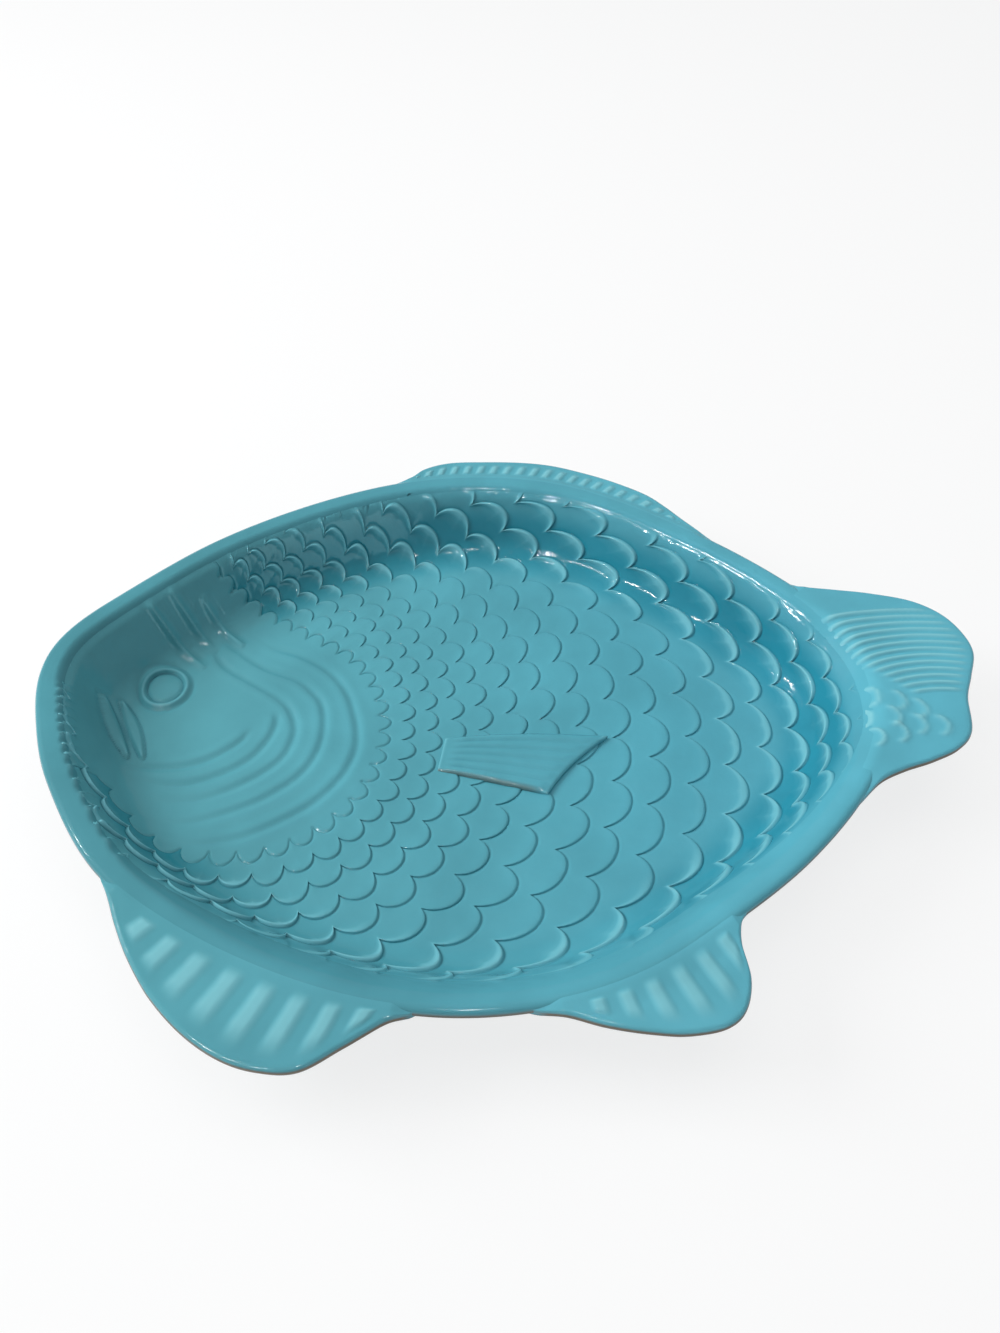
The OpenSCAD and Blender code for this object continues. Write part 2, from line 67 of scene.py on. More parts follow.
def spline_slope(a, b, c, d, t):
    bend, twist = 2 * a - 5 * b + 4 * c - d, 3 * b - a - 3 * c + d
    return ((c - a) + 2 * bend * t + 3 * twist * t ** 2) / 2


def mouth_at(station):
    """Point of the mouth and the way out of the well there. Station 3.5 is half way from point 3 to 4."""
    i = np.floor(station).astype(int)
    t = (station - i)[:, None]
    a, b, c, d = (MOUTH[(i + k) % len(MOUTH)] for k in (-1, 0, 1, 2))
    way = spline_slope(a, b, c, d, t)
    way /= np.linalg.norm(way, axis=1)[:, None]
    return spline(a, b, c, d, t), np.stack([-way[:, 1], way[:, 0]], 1)


def beside_mouth(station, inset):
    """Point this far inside the mouth, or outside where the inset is negative."""
    point, out = mouth_at(station)
    towards = HUB - point
    towards /= np.linalg.norm(towards, axis=1)[:, None]
    lean = -(towards * out).sum(1)
    inside = point + towards * (inset / lean)[:, None]
    return np.where((inset > 0)[:, None], inside, point - out * inset[:, None])


STEPS_PER_STATION = 48
DENSE = np.arange(0, len(MOUTH), 1 / STEPS_PER_STATION)
MOUTH_LINE, MOUTH_OUT = mouth_at(DENSE)
RIM_LINE = MOUTH_LINE + MOUTH_OUT * RIM_WIDTH
SHEET_TO_FRAME = np.array(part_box("rim_band")[0])[:2] * 1000 - RIM_LINE.min(0)


def inset_of(plan):
    """How far plan points lie inside the mouth, the way inwards there, and the nearest station."""
    near = np.concatenate([
        ((part[:, None] - MOUTH_LINE[None]) ** 2).sum(2).argmin(1)
        for part in np.array_split(plan, len(plan) // 2000 + 1)])
    inward = -MOUTH_OUT[near]
    inset = ((plan - MOUTH_LINE[near]) * inward).sum(1)
    return inset, inward, DENSE[near]


# Insets where the floor turns up into its fillet and where the fillet ends at the straight wall.
FILLET_RISE = FLOOR_TOP + FLOOR_FILLET - RIM_HEIGHT
FILLET_AT = (FLOOR_FILLET - FILLET_RISE * math.cos(WALL_SLOPE)) / math.sin(WALL_SLOPE)
WALL_ENDS = FILLET_AT - FLOOR_FILLET * math.sin(WALL_SLOPE)
FILLET_RUN = FLOOR_FILLET * WALL_SLOPE


def well_height(inset):
    wall = RIM_HEIGHT - inset * math.tan(WALL_SLOPE)
    hollow = FLOOR_TOP + FLOOR_FILLET - np.sqrt(
        np.maximum(FLOOR_FILLET ** 2 - np.clip(FILLET_AT - inset, 0, FLOOR_FILLET) ** 2, 0))
    return np.where(inset < WALL_ENDS, wall, hollow)


def rolled_up(flat):
    """Plan of points that are drawn on the well as if its wall were laid flat."""
    inset, inward, _ = inset_of(flat)
    run = np.maximum(FILLET_AT - inset, 0)
    hollow = FILLET_AT - FLOOR_FILLET * np.sin(np.minimum(run, FILLET_RUN) / FLOOR_FILLET)
    true_inset = hollow - np.maximum(run - FILLET_RUN, 0) * math.cos(WALL_SLOPE)
    return flat + inward * np.where(run > 0, true_inset - inset, 0)[:, None]


def laid_flat(plan, inset, inward):
    """The other way round: where points of the well would lie if its wall were laid flat."""
    bent = np.arcsin(np.clip((FILLET_AT - inset) / FLOOR_FILLET, 0, math.sin(WALL_SLOPE)))
    run = bent * FLOOR_FILLET + np.maximum(WALL_ENDS - inset, 0) / math.cos(WALL_SLOPE)
    return plan + inward * np.where(run > 0, FILLET_AT - run - inset, 0)[:, None]


# Lip along the mouth: [station, softness of the lip, inset where the relief starts, inset where it is full].
LIP = np.array([
    (0, 4.5, 0.8, 2.6), (4, 5, -0.3, 2.0), (9.6, 5, -0.3, 2.4), (10.4, 8, 0, 4), (11.2, 20, -1, 6),
    (13.0, 20, -1, 6), (13.8, 14, 1.5, 6), (14.8, 14, 3.0, 9), (16, 14, 6, 14), (20.4, 14, 6, 14),
    (21.4, 6, 3, 8), (22.2, 3, 0.6, 2.4), (24.4, 3, 0.8, 2.6), (25, 4.5, 0.8, 2.6)])
TEETH_FROM, TEETH_TO, TEETH_PER_STATION = 21.8, 24.8, 5.5
TOOTH_DEPTH = 2.6


def lip(station, column):
    return np.interp(station % len(MOUTH), LIP[:, 0], LIP[:, column])


def teeth(station):
    """Small scale tips that notch the inner edge of the rim below the mouth of the fish."""
    at = station * TEETH_PER_STATION
    inside = ease(TEETH_FROM, TEETH_FROM + 0.4, station) * (1 - ease(TEETH_TO - 0.3, TEETH_TO, station))
    return TOOTH_DEPTH * inside * (at - np.floor(at)) ** 2


def top_height(inset, station):
    """Height of the smooth face from the rim over its lip into the well."""
    soft = lip(station, 1)
    wall = well_height(inset - teeth(station) * (1 - ease(1, 5, inset)))
    over = np.maximum(soft - np.abs(wall - RIM_HEIGHT), 0)
    return np.minimum(wall, RIM_HEIGHT) - over ** 2 / (4 * soft)


def top_slope(inset, station):
    return (top_height(inset + 0.1, station) - top_height(inset - 0.1, station)) / 0.2


def on_well(plan, lift, inset, inward, station):
    """Points that stand this far off the smooth face, square to it."""
    slope = top_slope(inset, station)
    normal = np.concatenate([-slope[:, None] * inward, np.ones((len(plan), 1))], 1)
    normal /= np.linalg.norm(normal, axis=1)[:, None]
    return np.concatenate([plan, top_height(inset, station)[:, None]], 1) + normal * lift[:, None]


def beside_face(inset, station, lift):
    """Inset and height of a point that stands this far off the smooth face."""
    slope = top_slope(inset, station)
    size = np.hypot(slope, 1)
    return inset - slope / size * lift, top_height(inset, station) + lift / size


SEAM_WIDTH = 0.8
SEAM_LIFT = 0.12


def under_rim(lift, inset, station):
    """Relief that fades out at the rim and ends under it."""
    start, full = lip(station, 2), lip(station, 3)
    out_of_rim = ease(start + SEAM_WIDTH, start + 3, inset)
    in_rim = 1 - ease(start, start + SEAM_WIDTH, inset)
    return lift * ease(start + SEAM_WIDTH, full + SEAM_WIDTH, inset) + SEAM_LIFT * (out_of_rim - in_rim)


def ease(low, high, x):
    """0 up to low and 1 from high on, or the other way round where high is the smaller one."""
    t = np.clip((x - low) / (high - low), 0, 1)
    return t * t * (3 - 2 * t)


# Scale net: all courses run round the gills. Each row gives one as
# [radius, turn of its middle, turn from scale to scale, spread below, lean above, swing, end of the bend].
GILL_CENTRE = np.array([-99.0, -2.0])
COURSE_EVERY = 4
COURSE_ROWS = np.array([
    (66, 2.0, 8.6, 0.016, 0, 6, 60),
    (115, 1.6, 7.6, 0.028, 0.05, 2, 60),
    (179.5, 7.4, 7.4, 0.018, 0.055, 0, 60),
    (247, 4.0, 5.9, 0, 0.04, 0, 60),
    (300, 1.5, 3.8, 0, 0, 0, 60)], float)
COURSE_NET = np.vstack([
    2 * COURSE_ROWS[0] - COURSE_ROWS[1], COURSE_ROWS, 2 * COURSE_ROWS[-1] - COURSE_ROWS[-2]])
SWING_TURN = 130.0
LEAN_TURN = 40.0
SCALLOP_DEPTH = 0.55
SCALLOP_ROUND = 0.92


def swing_out(turn, swing):
    """How far the lower arm of a course swings outwards."""
    return np.where(turn < 0, swing * (turn / SWING_TURN) ** 4, 0)


def net_point(u, v):
    k = np.clip(np.floor(u / COURSE_EVERY).astype(int), 0, len(COURSE_ROWS) - 2)
    c = spline(COURSE_NET[k], COURSE_NET[k + 1], COURSE_NET[k + 2], COURSE_NET[k + 3],
               (u / COURSE_EVERY - k)[:, None])
    radius, middle, pitch, spread, lean, swing, bend_end = c.T
    turn = middle + pitch * v * (1 + spread * np.maximum(-v, 0))
    radius = radius * (1 - lean * np.clip(turn / LEAN_TURN, 0, 1))
    bent = np.minimum(turn, bend_end)
    past = radius * np.radians(turn - bent)
    reach = radius + swing_out(bent, swing)
    cos, sin = np.cos(np.radians(bent)), np.sin(np.radians(bent))
    return GILL_CENTRE + np.stack([reach * cos - past * sin, reach * sin + past * cos], 1)


def off_centre(k, v):
    """How far along its scale a point of a course lies: 0 at its middle and 1 between two scales."""
    at = v + ((k + 1) % 2) / 2
    return 2 * np.abs(at - np.round(at))


def notch(k, v):
    """Share of the scallop's depth by which the free edge lies back here."""
    return (1 - np.sqrt(1 - SCALLOP_ROUND * off_centre(k, v) ** 2)) / (1 - math.sqrt(1 - SCALLOP_ROUND))


def free_edge(k, v):
    """Free edge of a course. Each scale is cut by hand, a little longer or shorter than the next."""
    scale = np.round(v + ((k + 1) % 2) / 2)
    hand = 0.07 * np.sin(scale * 2.7 + k * 4.1) * (1 - off_centre(k, v) ** 2) * (k > 0)
    return net_point(k - SCALLOP_DEPTH * notch(k, v) + hand, v)


def new_piece(name, bm, material, nodes):
    """Turns a bmesh in millimetres on the sheet into a finished piece of the platter."""
    for v in bm.verts:
        v.co.x += SHEET_TO_FRAME[0]
        v.co.y += SHEET_TO_FRAME[1]
        v.co /= 1000
    mesh = bpy.data.meshes.new(name)
    bm.to_mesh(mesh)
    bm.free()
    for polygon in mesh.polygons:
        polygon.use_smooth = True
    piece = bpy.data.objects.new(name, mesh)
    bpy.context.scene.collection.objects.link(piece)
    mesh.materials.append(material)
    mark_crests(mesh)
    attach(piece, "root")
    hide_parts(*nodes)
    return piece


CREST_CONTRAST = 1.6


def mark_crests(mesh):
    """Keeps how far points stand out of their neighbours: glaze is thin on crests and pools in grooves."""
    count = len(mesh.vertices)
    co, normal = np.empty(count * 3), np.empty(count * 3)
    mesh.vertices.foreach_get("co", co)
    mesh.vertices.foreach_get("normal", normal)
    co, normal = co.reshape(-1, 3), normal.reshape(-1, 3)
    ends = np.empty(len(mesh.edges) * 2, int)
    mesh.edges.foreach_get("vertices", ends)
    a, b = ends.reshape(-1, 2).T
    way = co[b] - co[a]
    length = np.linalg.norm(way, axis=1) + 1e-9
    bulge = np.zeros(count)
    weight = np.zeros(count)
    np.add.at(bulge, a, -(way * normal[a]).sum(1) / length)
    np.add.at(bulge, b, (way * normal[b]).sum(1) / length)
    np.add.at(weight, a, 1)
    np.add.at(weight, b, 1)
    crest = bulge / np.maximum(weight, 1)
    for again in range(2):
        spread = crest.copy()
        shared = np.ones(count)
        np.add.at(spread, a, crest[b])
        np.add.at(spread, b, crest[a])
        np.add.at(shared, a, 1)
        np.add.at(shared, b, 1)
        crest = spread / shared
    layer = mesh.attributes.new("crest", "FLOAT", "POINT")
    layer.data.foreach_set("value", np.clip(0.5 + crest * CREST_CONTRAST, 0, 1))


def grid(columns, rows):
    """Grid whose points count columns and rows from zero."""
    bm = bmesh.new()
    bmesh.ops.create_grid(bm, x_segments=columns - 1, y_segments=rows - 1, size=0.5)
    co = np.array([v.co[:2] for v in bm.verts])
    column = np.round((co[:, 0] + 0.5) * (columns - 1)).astype(int)
    row = np.round((co[:, 1] + 0.5) * (rows - 1)).astype(int)
    return bm, column, row


def place(bm, points):
    for v, p in zip(bm.verts, points):
        v.co = p


def keep(bm, name, values):
    """Keeps a value for the glaze at each point."""
    layer = bm.verts.layers.float.new(name)
    for v, value in zip(bm.verts, values):
        v[layer] = value


def trim(bm, outside):
    bm.verts.ensure_lookup_table()
    bmesh.ops.delete(bm, geom=[bm.verts[i] for i in np.nonzero(outside)[0]], context="VERTS")
    loose = [v for v in bm.verts if not v.link_faces]
    bmesh.ops.delete(bm, geom=loose, context="VERTS")


def face_up(bm):
    bmesh.ops.recalc_face_normals(bm, faces=bm.faces)
    up = sum(f.normal.z * f.calc_area() for f in bm.faces)
    if up < 0:
        bmesh.ops.reverse_faces(bm, faces=bm.faces)


SKIN_THICKNESS = 1.0


def thicken(skin):
    wall = skin.modifiers.new("wall", "SOLIDIFY")
    wall.thickness = SKIN_THICKNESS / 1000
    wall.offset = -1
    return skin


def ring_piece(name, section, columns, material, nodes):
    """Closed ring that follows the mouth, with a section of [inset, height] points."""
    section = np.array(section, float)
    bm, column, row = grid(columns + 1, len(section) + 1)
    station = (column % columns) * len(MOUTH) / columns
    at = section[row % len(section)]
    plan = beside_mouth(station, at[:, 0])
    place(bm, np.concatenate([plan, at[:, 1:]], 1))
    bmesh.ops.remove_doubles(bm, verts=bm.verts, dist=1e-4)
    bmesh.ops.recalc_face_normals(bm, faces=bm.faces)
    return new_piece(name, bm, material, nodes)


def srgb(r, g, b):
    def linear(c):
        c /= 255
        return c / 12.92 if c < 0.04045 else ((c + 0.055) / 1.055) ** 2.4
    return linear(r), linear(g), linear(b), 1.0


def feed(tree, socket, value):
    """Gives a socket its value, or the link that it comes from."""
    if isinstance(value, bpy.types.NodeSocket):
        tree.links.new(value, socket)
    else:
        socket.default_value = value


def mixed(tree, first, second, share, blend="MIX"):
    mix = tree.nodes.new("ShaderNodeMix")
    mix.data_type = "RGBA"
    mix.blend_type = blend
    feed(tree, mix.inputs["Factor"], share)
    feed(tree, mix.inputs["A"], first)
    feed(tree, mix.inputs["B"], second)
    return mix.outputs["Result"]


def ranged(tree, value, start, end, low=0.0, high=1.0, steps="LINEAR"):
    """Runs from low to high while the value runs from start to end."""
    span = tree.nodes.new("ShaderNodeMapRange")
    span.interpolation_type = steps
    for name, number in (("From Min", start), ("From Max", end), ("To Min", low), ("To Max", high)):
        span.inputs[name].default_value = number
    tree.links.new(value, span.inputs["Value"])
    return span.outputs["Result"]


def reckoned(tree, operation, value, factor, more=None):
    """Value times a factor, and more where there is more to add."""
    sum_node = tree.nodes.new("ShaderNodeMath")
    sum_node.operation = operation
    sum_node.use_clamp = more is not None
    tree.links.new(value, sum_node.inputs[0])
    sum_node.inputs[1].default_value = factor
    if more is not None:
        tree.links.new(more, sum_node.inputs[2])
    return sum_node.outputs[0]


def noise(tree, where, scale, detail):
    cloud = tree.nodes.new("ShaderNodeTexNoise")
    cloud.inputs["Scale"].default_value = scale
    cloud.inputs["Detail"].default_value = detail
    tree.links.new(where, cloud.inputs["Vector"])
    return cloud.outputs["Fac"]


def kept(tree, name):
    """Value that a piece keeps at its points."""
    attribute = tree.nodes.new("ShaderNodeAttribute")
    attribute.attribute_name = name
    return attribute.outputs["Fac"]


def bumped(tree, shader, height, strength, distance):
    bump = tree.nodes.new("ShaderNodeBump")
    bump.inputs["Strength"].default_value = strength
    bump.inputs["Distance"].default_value = distance
    tree.links.new(height, bump.inputs["Height"])
    tree.links.new(bump.outputs["Normal"], shader.inputs["Normal"])


def new_material(name):
    material = bpy.data.materials.new(name)
    material.use_nodes = True
    tree = material.node_tree
    where = tree.nodes.new("ShaderNodeTexCoord").outputs["Object"]
    return material, tree, tree.nodes["Principled BSDF"], where


BARE_EDGE = srgb(112, 98, 78)
# Saturated teal that darkens the wall scales' bodies: glaze that pools there and painted shade.
POOL_AND_SHADE_TINT = (0.04, 0.63, 0.71, 1.0)


def glaze(name, head, tail, deep, pale):
    """Glossy turquoise glaze: bluer towards the tail, dark where it pools and pale where it is thin, with
    painted shade on the wall scales' bodies and a painted highlight on beads and rays.
    """
    material, tree, shader, where = new_material(name)
    apart = tree.nodes.new("ShaderNodeSeparateXYZ")
    tree.links.new(where, apart.inputs[0])
    body = mixed(tree, head, tail, ranged(tree, apart.outputs["X"], -0.16, 0.19))
    clouds = noise(tree, where, 26, 4)
    cloudy = mixed(tree, body, ranged(tree, clouds, 0.3, 0.7, 0.9, 1.08), 1.0, "MULTIPLY")
    # Painted shade, partly pooled glaze: the scales' bodies on the walls darken, less on the near wall.
    pooled_and_shaded = mixed(tree, cloudy, POOL_AND_SHADE_TINT, reckoned(tree, "MULTIPLY", kept(tree, "pooled_glaze_and_shade"), 0.75), "MULTIPLY")
    crest = kept(tree, "crest")
    grooved = mixed(tree, pooled_and_shaded, deep, ranged(tree, crest, 0.46, 0.12, steps="SMOOTHSTEP"))
    thin = ranged(tree, crest, 0.55, 0.95, 0.0, 0.7, "SMOOTHSTEP")
    # Paler beads and fin rays: thin glaze and a painted highlight.
    crested_and_highlit = mixed(tree, grooved, pale, reckoned(tree, "MULTIPLY_ADD", kept(tree, "thin_glaze_and_highlight"), 0.7, thin))
    worn = mixed(tree, crested_and_highlit, BARE_EDGE, kept(tree, "edge"))
    tree.links.new(worn, shader.inputs["Base Color"])
    bumped(tree, shader, noise(tree, where, 110, 4), 0.32, 0.0008)
    tree.links.new(ranged(tree, clouds, 0.0, 1.0, 0.06, 0.16), shader.inputs["Roughness"])
    shader.inputs["IOR"].default_value = 1.52
    return material


def clay(name, colour, speck):
    """Unglazed clay of the foot, with fine grog."""
    material, tree, shader, where = new_material(name)
    grog = noise(tree, where, 900, 3)
    tree.links.new(mixed(tree, colour, speck, ranged(tree, grog, 0.42, 0.72)), shader.inputs["Base Color"])
    bumped(tree, shader, grog, 0.4, 0.0003)
    shader.inputs["Roughness"].default_value = 0.85
    return material


# Each glaze has its colour at the head, at the tail, in grooves and where it is thin.
well_glaze = glaze("well_glaze",
                   srgb(86, 156, 166), srgb(79, 164, 184), srgb(26, 98, 114), srgb(118, 190, 202))
rim_glaze = glaze("rim_glaze",
                  srgb(73, 140, 151), srgb(92, 178, 197), srgb(34, 102, 116), srgb(116, 180, 188))
fin_glaze = glaze("fin_glaze",
                  srgb(80, 150, 161), srgb(97, 184, 203), srgb(68, 138, 152), srgb(140, 206, 214))
foot_clay = clay("foot_clay", srgb(226, 214, 192), srgb(196, 178, 150))

# Scales: height of the relief, the step at a scale's root, and what the wall adds to the height.
SCALE_RELIEF = 1.2
ROOT_STEP = 0.5
WALL_BOOST = 0.4
SCALE_STEPS = 22
# Section of a scale from its root to its free edge, on the floor and on the wall, where the edge is a bead.
ALONG = np.array([0, 0.06, 0.14, 0.3, 0.5, 0.66, 0.78, 0.86, 0.92, 0.96, 0.985, 1.0])
SWELL = np.array([0.12, 0.32, 0.44, 0.52, 0.58, 0.66, 0.8, 0.95, 1.0, 0.96, 0.84, 0.55])
WALL_SWELL = np.array([0.1, 0.22, 0.27, 0.3, 0.32, 0.35, 0.46, 0.78, 1.0, 0.94, 0.66, 0.3])


# Insets between which the relief goes over to that of the wall, and the courses where beads start on the floor.
WALL_RELIEF = 36, 20
TAIL_BEADS_FROM = 9.5, 11.5
TAIL_BEADS = 0.85


def scale_skin(name, first, last, widest, nodes):
    """Overlapping scales of these courses, as one skin that steps down at the free edge of each course."""
    count = last + 1 - first
    courses = np.repeat(np.arange(first, last + 1), len(ALONG))
    courses = np.concatenate([courses[:1], courses, courses[-1:]])
    share = np.concatenate([[-0.35], np.tile(ALONG, count), [1.03]])
    swell = np.concatenate([[-0.5], np.tile(SWELL, count), [-0.6]])
    wall_swell = np.concatenate([[-0.5], np.tile(WALL_SWELL, count), [-0.6]])
    columns = 2 * widest * SCALE_STEPS + 1
    bm, column, row = grid(columns, len(courses))
    v = column / SCALE_STEPS - widest
    k = courses[row]
    under, edge = free_edge(k - 1, v), free_edge(k, v)
    way = edge - under
    length = np.linalg.norm(way, axis=1)
    way /= np.maximum(length, 1e-6)[:, None]
    run = np.where(share[row] <= 0, share[row] * length, 0) + ROOT_STEP
    run = np.maximum(run, share[row] * length)
    plan = rolled_up(under + way * run[:, None])
    inset, inward, station = inset_of(plan)
    on_wall = ease(*WALL_RELIEF, inset)
    beaded = np.maximum(on_wall, TAIL_BEADS * ease(*TAIL_BEADS_FROM, k))
    lift = swell[row] + (wall_swell - swell)[row] * beaded
    lift = SCALE_RELIEF * lift * (1 - 0.2 * off_centre(k, v) ** 4) * (1 + WALL_BOOST * on_wall)
    lift = under_rim(lift, inset, station)
    place(bm, on_well(plan, lift, inset, inward, station))
    # Darker scale bodies on the walls, weaker on the near wall: pooled glaze and painted shade.
    far_side = 1 - 0.75 * ease(0.7, 0.95, inward[:, 1])
    keep(bm, "pooled_glaze_and_shade", on_wall * (1 - ease(0.55, 0.85, share[row])) * ease(3, 9, inset) * far_side)
    # Paler bead along each scale's free edge on the walls and tail: thin glaze and a painted highlight.
    along_edge = ease(0.76, 0.88, share[row]) * (1 - ease(0.975, 1, share[row]))
    keep(bm, "thin_glaze_and_highlight", beaded * along_edge * ease(0, 4, inset))
    trim(bm, inset < lip(station, 2) - 0.5)
    face_up(bm)
    return thicken(new_piece(name, bm, well_glaze, nodes))


shoulder = scale_skin("shoulder_scales_skin", 1, 5, 20, ["shoulder_scales"])
flank = scale_skin("flank_scales_skin", 6, 10, 12, ["flank_scales"])
tail_end = scale_skin("tail_scales_skin", 11, 17, 12, ["tail_scales"])

HEAD_LOW, HEAD_HIGH = np.array([-183.0, -108.0]), np.array([-28.0, 104.0])
HEAD_STEP = 0.7
HEAD_LIFT = 0.8
HEAD_UNDER_SCALES = 8.0
EYE = np.array([-144.5, 25.0])
UPPER_LIP = np.array([(-169.5, 13), (-162, -2), (-153.5, -16)], float)
LOWER_LIP = np.array([(-163, 15), (-154.5, 1), (-146.5, -15.5)], float)
# Grooves between the gill plates, from the upper end to the lower end.
GILL_GROOVES = [
    [(-97, 4), (-103, -6), (-110, -12), (-118, -17), (-128, -20), (-140, -20.5), (-152, -19), (-161, -16)],
    [(-89, 13), (-87.5, 5), (-89.5, -4), (-96, -14.5), (-107, -23), (-124, -29.3), (-140, -28.5),
     (-154, -25)],
    [(-134, 60), (-125, 49), (-118, 39), (-107, 31.5), (-95, 24), (-85.5, 16.5), (-80, 8), (-78, -1.5),
     (-81, -13), (-88.5, -22), (-102.5, -31.5), (-119.5, -38), (-137, -37.5), (-153, -33)],
    [(-126, 64), (-114, 50), (-98, 38), (-81, 30.5), (-71.5, 22), (-66.5, 14), (-64.5, 2), (-66, -11),
     (-72.5, -24), (-86.5, -36), (-102.5, -44), (-119.5, -49), (-135, -48), (-151, -43)],
    [(-112, 63), (-95, 51), (-81, 45.5), (-67.5, 37), (-57.7, 26), (-52, 13.5), (-48.5, -0.5), (-48.6, -12),
     (-53.5, -25), (-64, -38), (-77, -47.5), (-94, -56), (-111, -59.5), (-129, -58.5), (-146, -53)]]
NAPE_RIDGES = [
    [(-155, 58), (-141, 48), (-127, 37)],
    [(-144, 65), (-134, 57), (-123, 48)],
    [(-131, 69), (-120, 59), (-110, 51)]]


def curve_through(points, per):
    """Dense points of a smooth open curve, and the share of the curve behind each."""
    points = np.array(points, float)
    full = np.vstack([2 * points[0] - points[1], points, 2 * points[-1] - points[-2]])
    at = np.linspace(0, len(points) - 1, (len(points) - 1) * per + 1)
    i = np.minimum(at.astype(int), len(points) - 2)
    return spline(full[i], full[i + 1], full[i + 2], full[i + 3], (at - i)[:, None]), at / at[-1]


def beside_curve(plan, points, per=12):
    """Distance of plan points to the right of a curve's way, and the share of the curve behind each."""
    line, share = curve_through(points, per)
    gap = np.linalg.norm(plan[:, None] - line[None], axis=2)
    near = gap.argmin(1)
    way = np.gradient(line, axis=0)[near]
    away = plan - line[near]
    side = np.sign(away[:, 1] * way[:, 0] - away[:, 0] * way[:, 1])
    return gap.min(1) * side, share[near]


def leaf(plan, points, width, height):
    """Rounded ridge that is pointed at both ends, with a soft groove round it."""
    off, share = beside_curve(plan, points, 16)
    half = width / 2 * (0.25 + 0.75 * np.sin(np.pi * share) ** 0.7)
    groove = 0.6 * np.exp(-(np.maximum(np.abs(off) - half, -1) / 1.2) ** 2)
    return height * np.sqrt(np.clip(1 - (off / half) ** 2, 0, 1)) - groove


def head_lift(plan):
    lift = np.full(len(plan), HEAD_LIFT)
    for groove in GILL_GROOVES:
        off, share = beside_curve(plan, groove)
        shown = ease(0, 0.14, share) * (1 - ease(0.7, 1, share))
        lift += shown * (0.2 * np.exp(-((off - 3.6) / 2.6) ** 2) + 0.35 * np.exp(-((off + 3.4) / 2.4) ** 2)
                         - 0.8 * np.exp(-(off / 1.9) ** 2))
    for ridge in NAPE_RIDGES:
        off, share = beside_curve(plan, ridge)
        lift += np.sin(np.pi * share) ** 0.5 * (
            1.7 * np.exp(-(off / 1.4) ** 2) - 0.4 * np.exp(-((np.abs(off) - 4) / 1.5) ** 2))
    eye = np.linalg.norm(plan - EYE, axis=1)
    lift += 1.7 * np.exp(-((eye - 10.6) / 1.5) ** 2) - 0.5 * np.exp(-((eye - 13.4) / 1.2) ** 2)
    lift += 1.3 * np.sqrt(np.clip(1 - (eye / 8.4) ** 2, 0, 1)) - 0.6 * np.exp(-((eye - 8.5) / 0.8) ** 2)
    lift += leaf(plan, UPPER_LIP, 5.4, 1.9) + leaf(plan, LOWER_LIP, 6.4, 1.9)
    return lift


def past_first_course(plan):
    """How far plan points lie outside the scalloped free edge of the first course, seen from the gills."""
    radius, middle, pitch, spread, lean, swing, bend_end = COURSE_ROWS[0]
    away = plan - GILL_CENTRE
    turn = np.degrees(np.arctan2(away[:, 1], away[:, 0]))
    end = np.array([math.cos(math.radians(bend_end)), math.sin(math.radians(bend_end))])
    straight = (turn > bend_end) | (turn < bend_end - 210)
    past = away @ np.array([-end[1], end[0]])
    gap = np.where(straight, away @ end, np.linalg.norm(away, axis=1) - swing_out(turn, swing)) - radius
    turn = np.where(straight, bend_end + np.degrees(past / radius), turn) - middle
    below = (1 - np.sqrt(1 + 4 * spread * np.maximum(-turn, 0) / pitch)) / (2 * spread)
    depth = SCALLOP_DEPTH * (COURSE_ROWS[1][0] - radius) / COURSE_EVERY
    return gap + depth * notch(0, np.where(turn < 0, below, turn / pitch))


def head_skin():
    """Head with gills, nape, eye and lips. Its edge runs on under the first scales."""
    columns, rows = ((HEAD_HIGH - HEAD_LOW) / HEAD_STEP).astype(int)
    bm, column, row = grid(columns, rows)
    plan = HEAD_LOW + np.stack([column, row], 1) * HEAD_STEP
    inset, inward, station = inset_of(plan)
    past = past_first_course(laid_flat(plan, inset, inward))
    lift = head_lift(plan) * (1 - ease(-0.6, 0.6, past)) - 0.35 * ease(-0.2, 1.2, past)
    lift = under_rim(lift, inset, station)
    place(bm, on_well(plan, lift, inset, inward, station))
    trim(bm, (inset < lip(station, 2) - 0.5) | (past > HEAD_UNDER_SCALES))
    face_up(bm)
    return thicken(new_piece("head_skin", bm, well_glaze, [
        "gill_bands", "nape_ridges", "eye_ring", "eye_ball", "upper_lip", "lower_lip"]))


head = head_skin()

# Section of the rim from its underside to its top, as [inset, height], and how it dives under the skins.
RIM_UNDER = [(-4.0, 38.0), (-7.4, 38.0), (-8.6, 38.25), (-9.5, 38.8), (-9.92, 39.7), (-10.0, 40.6),
             (-9.92, 41.6), (-9.65, 42.45), (-9.1, 43.15), (-8.3, 43.6)]
RIM_TOP_FROM = -7.4
RIM_OVER_SKINS = 2.2
RIM_DIVE = np.array([-0.35, -1.3, -2.6, -3.6])
RIM_TOP_ROWS = 16
RIM_COLUMNS = 600


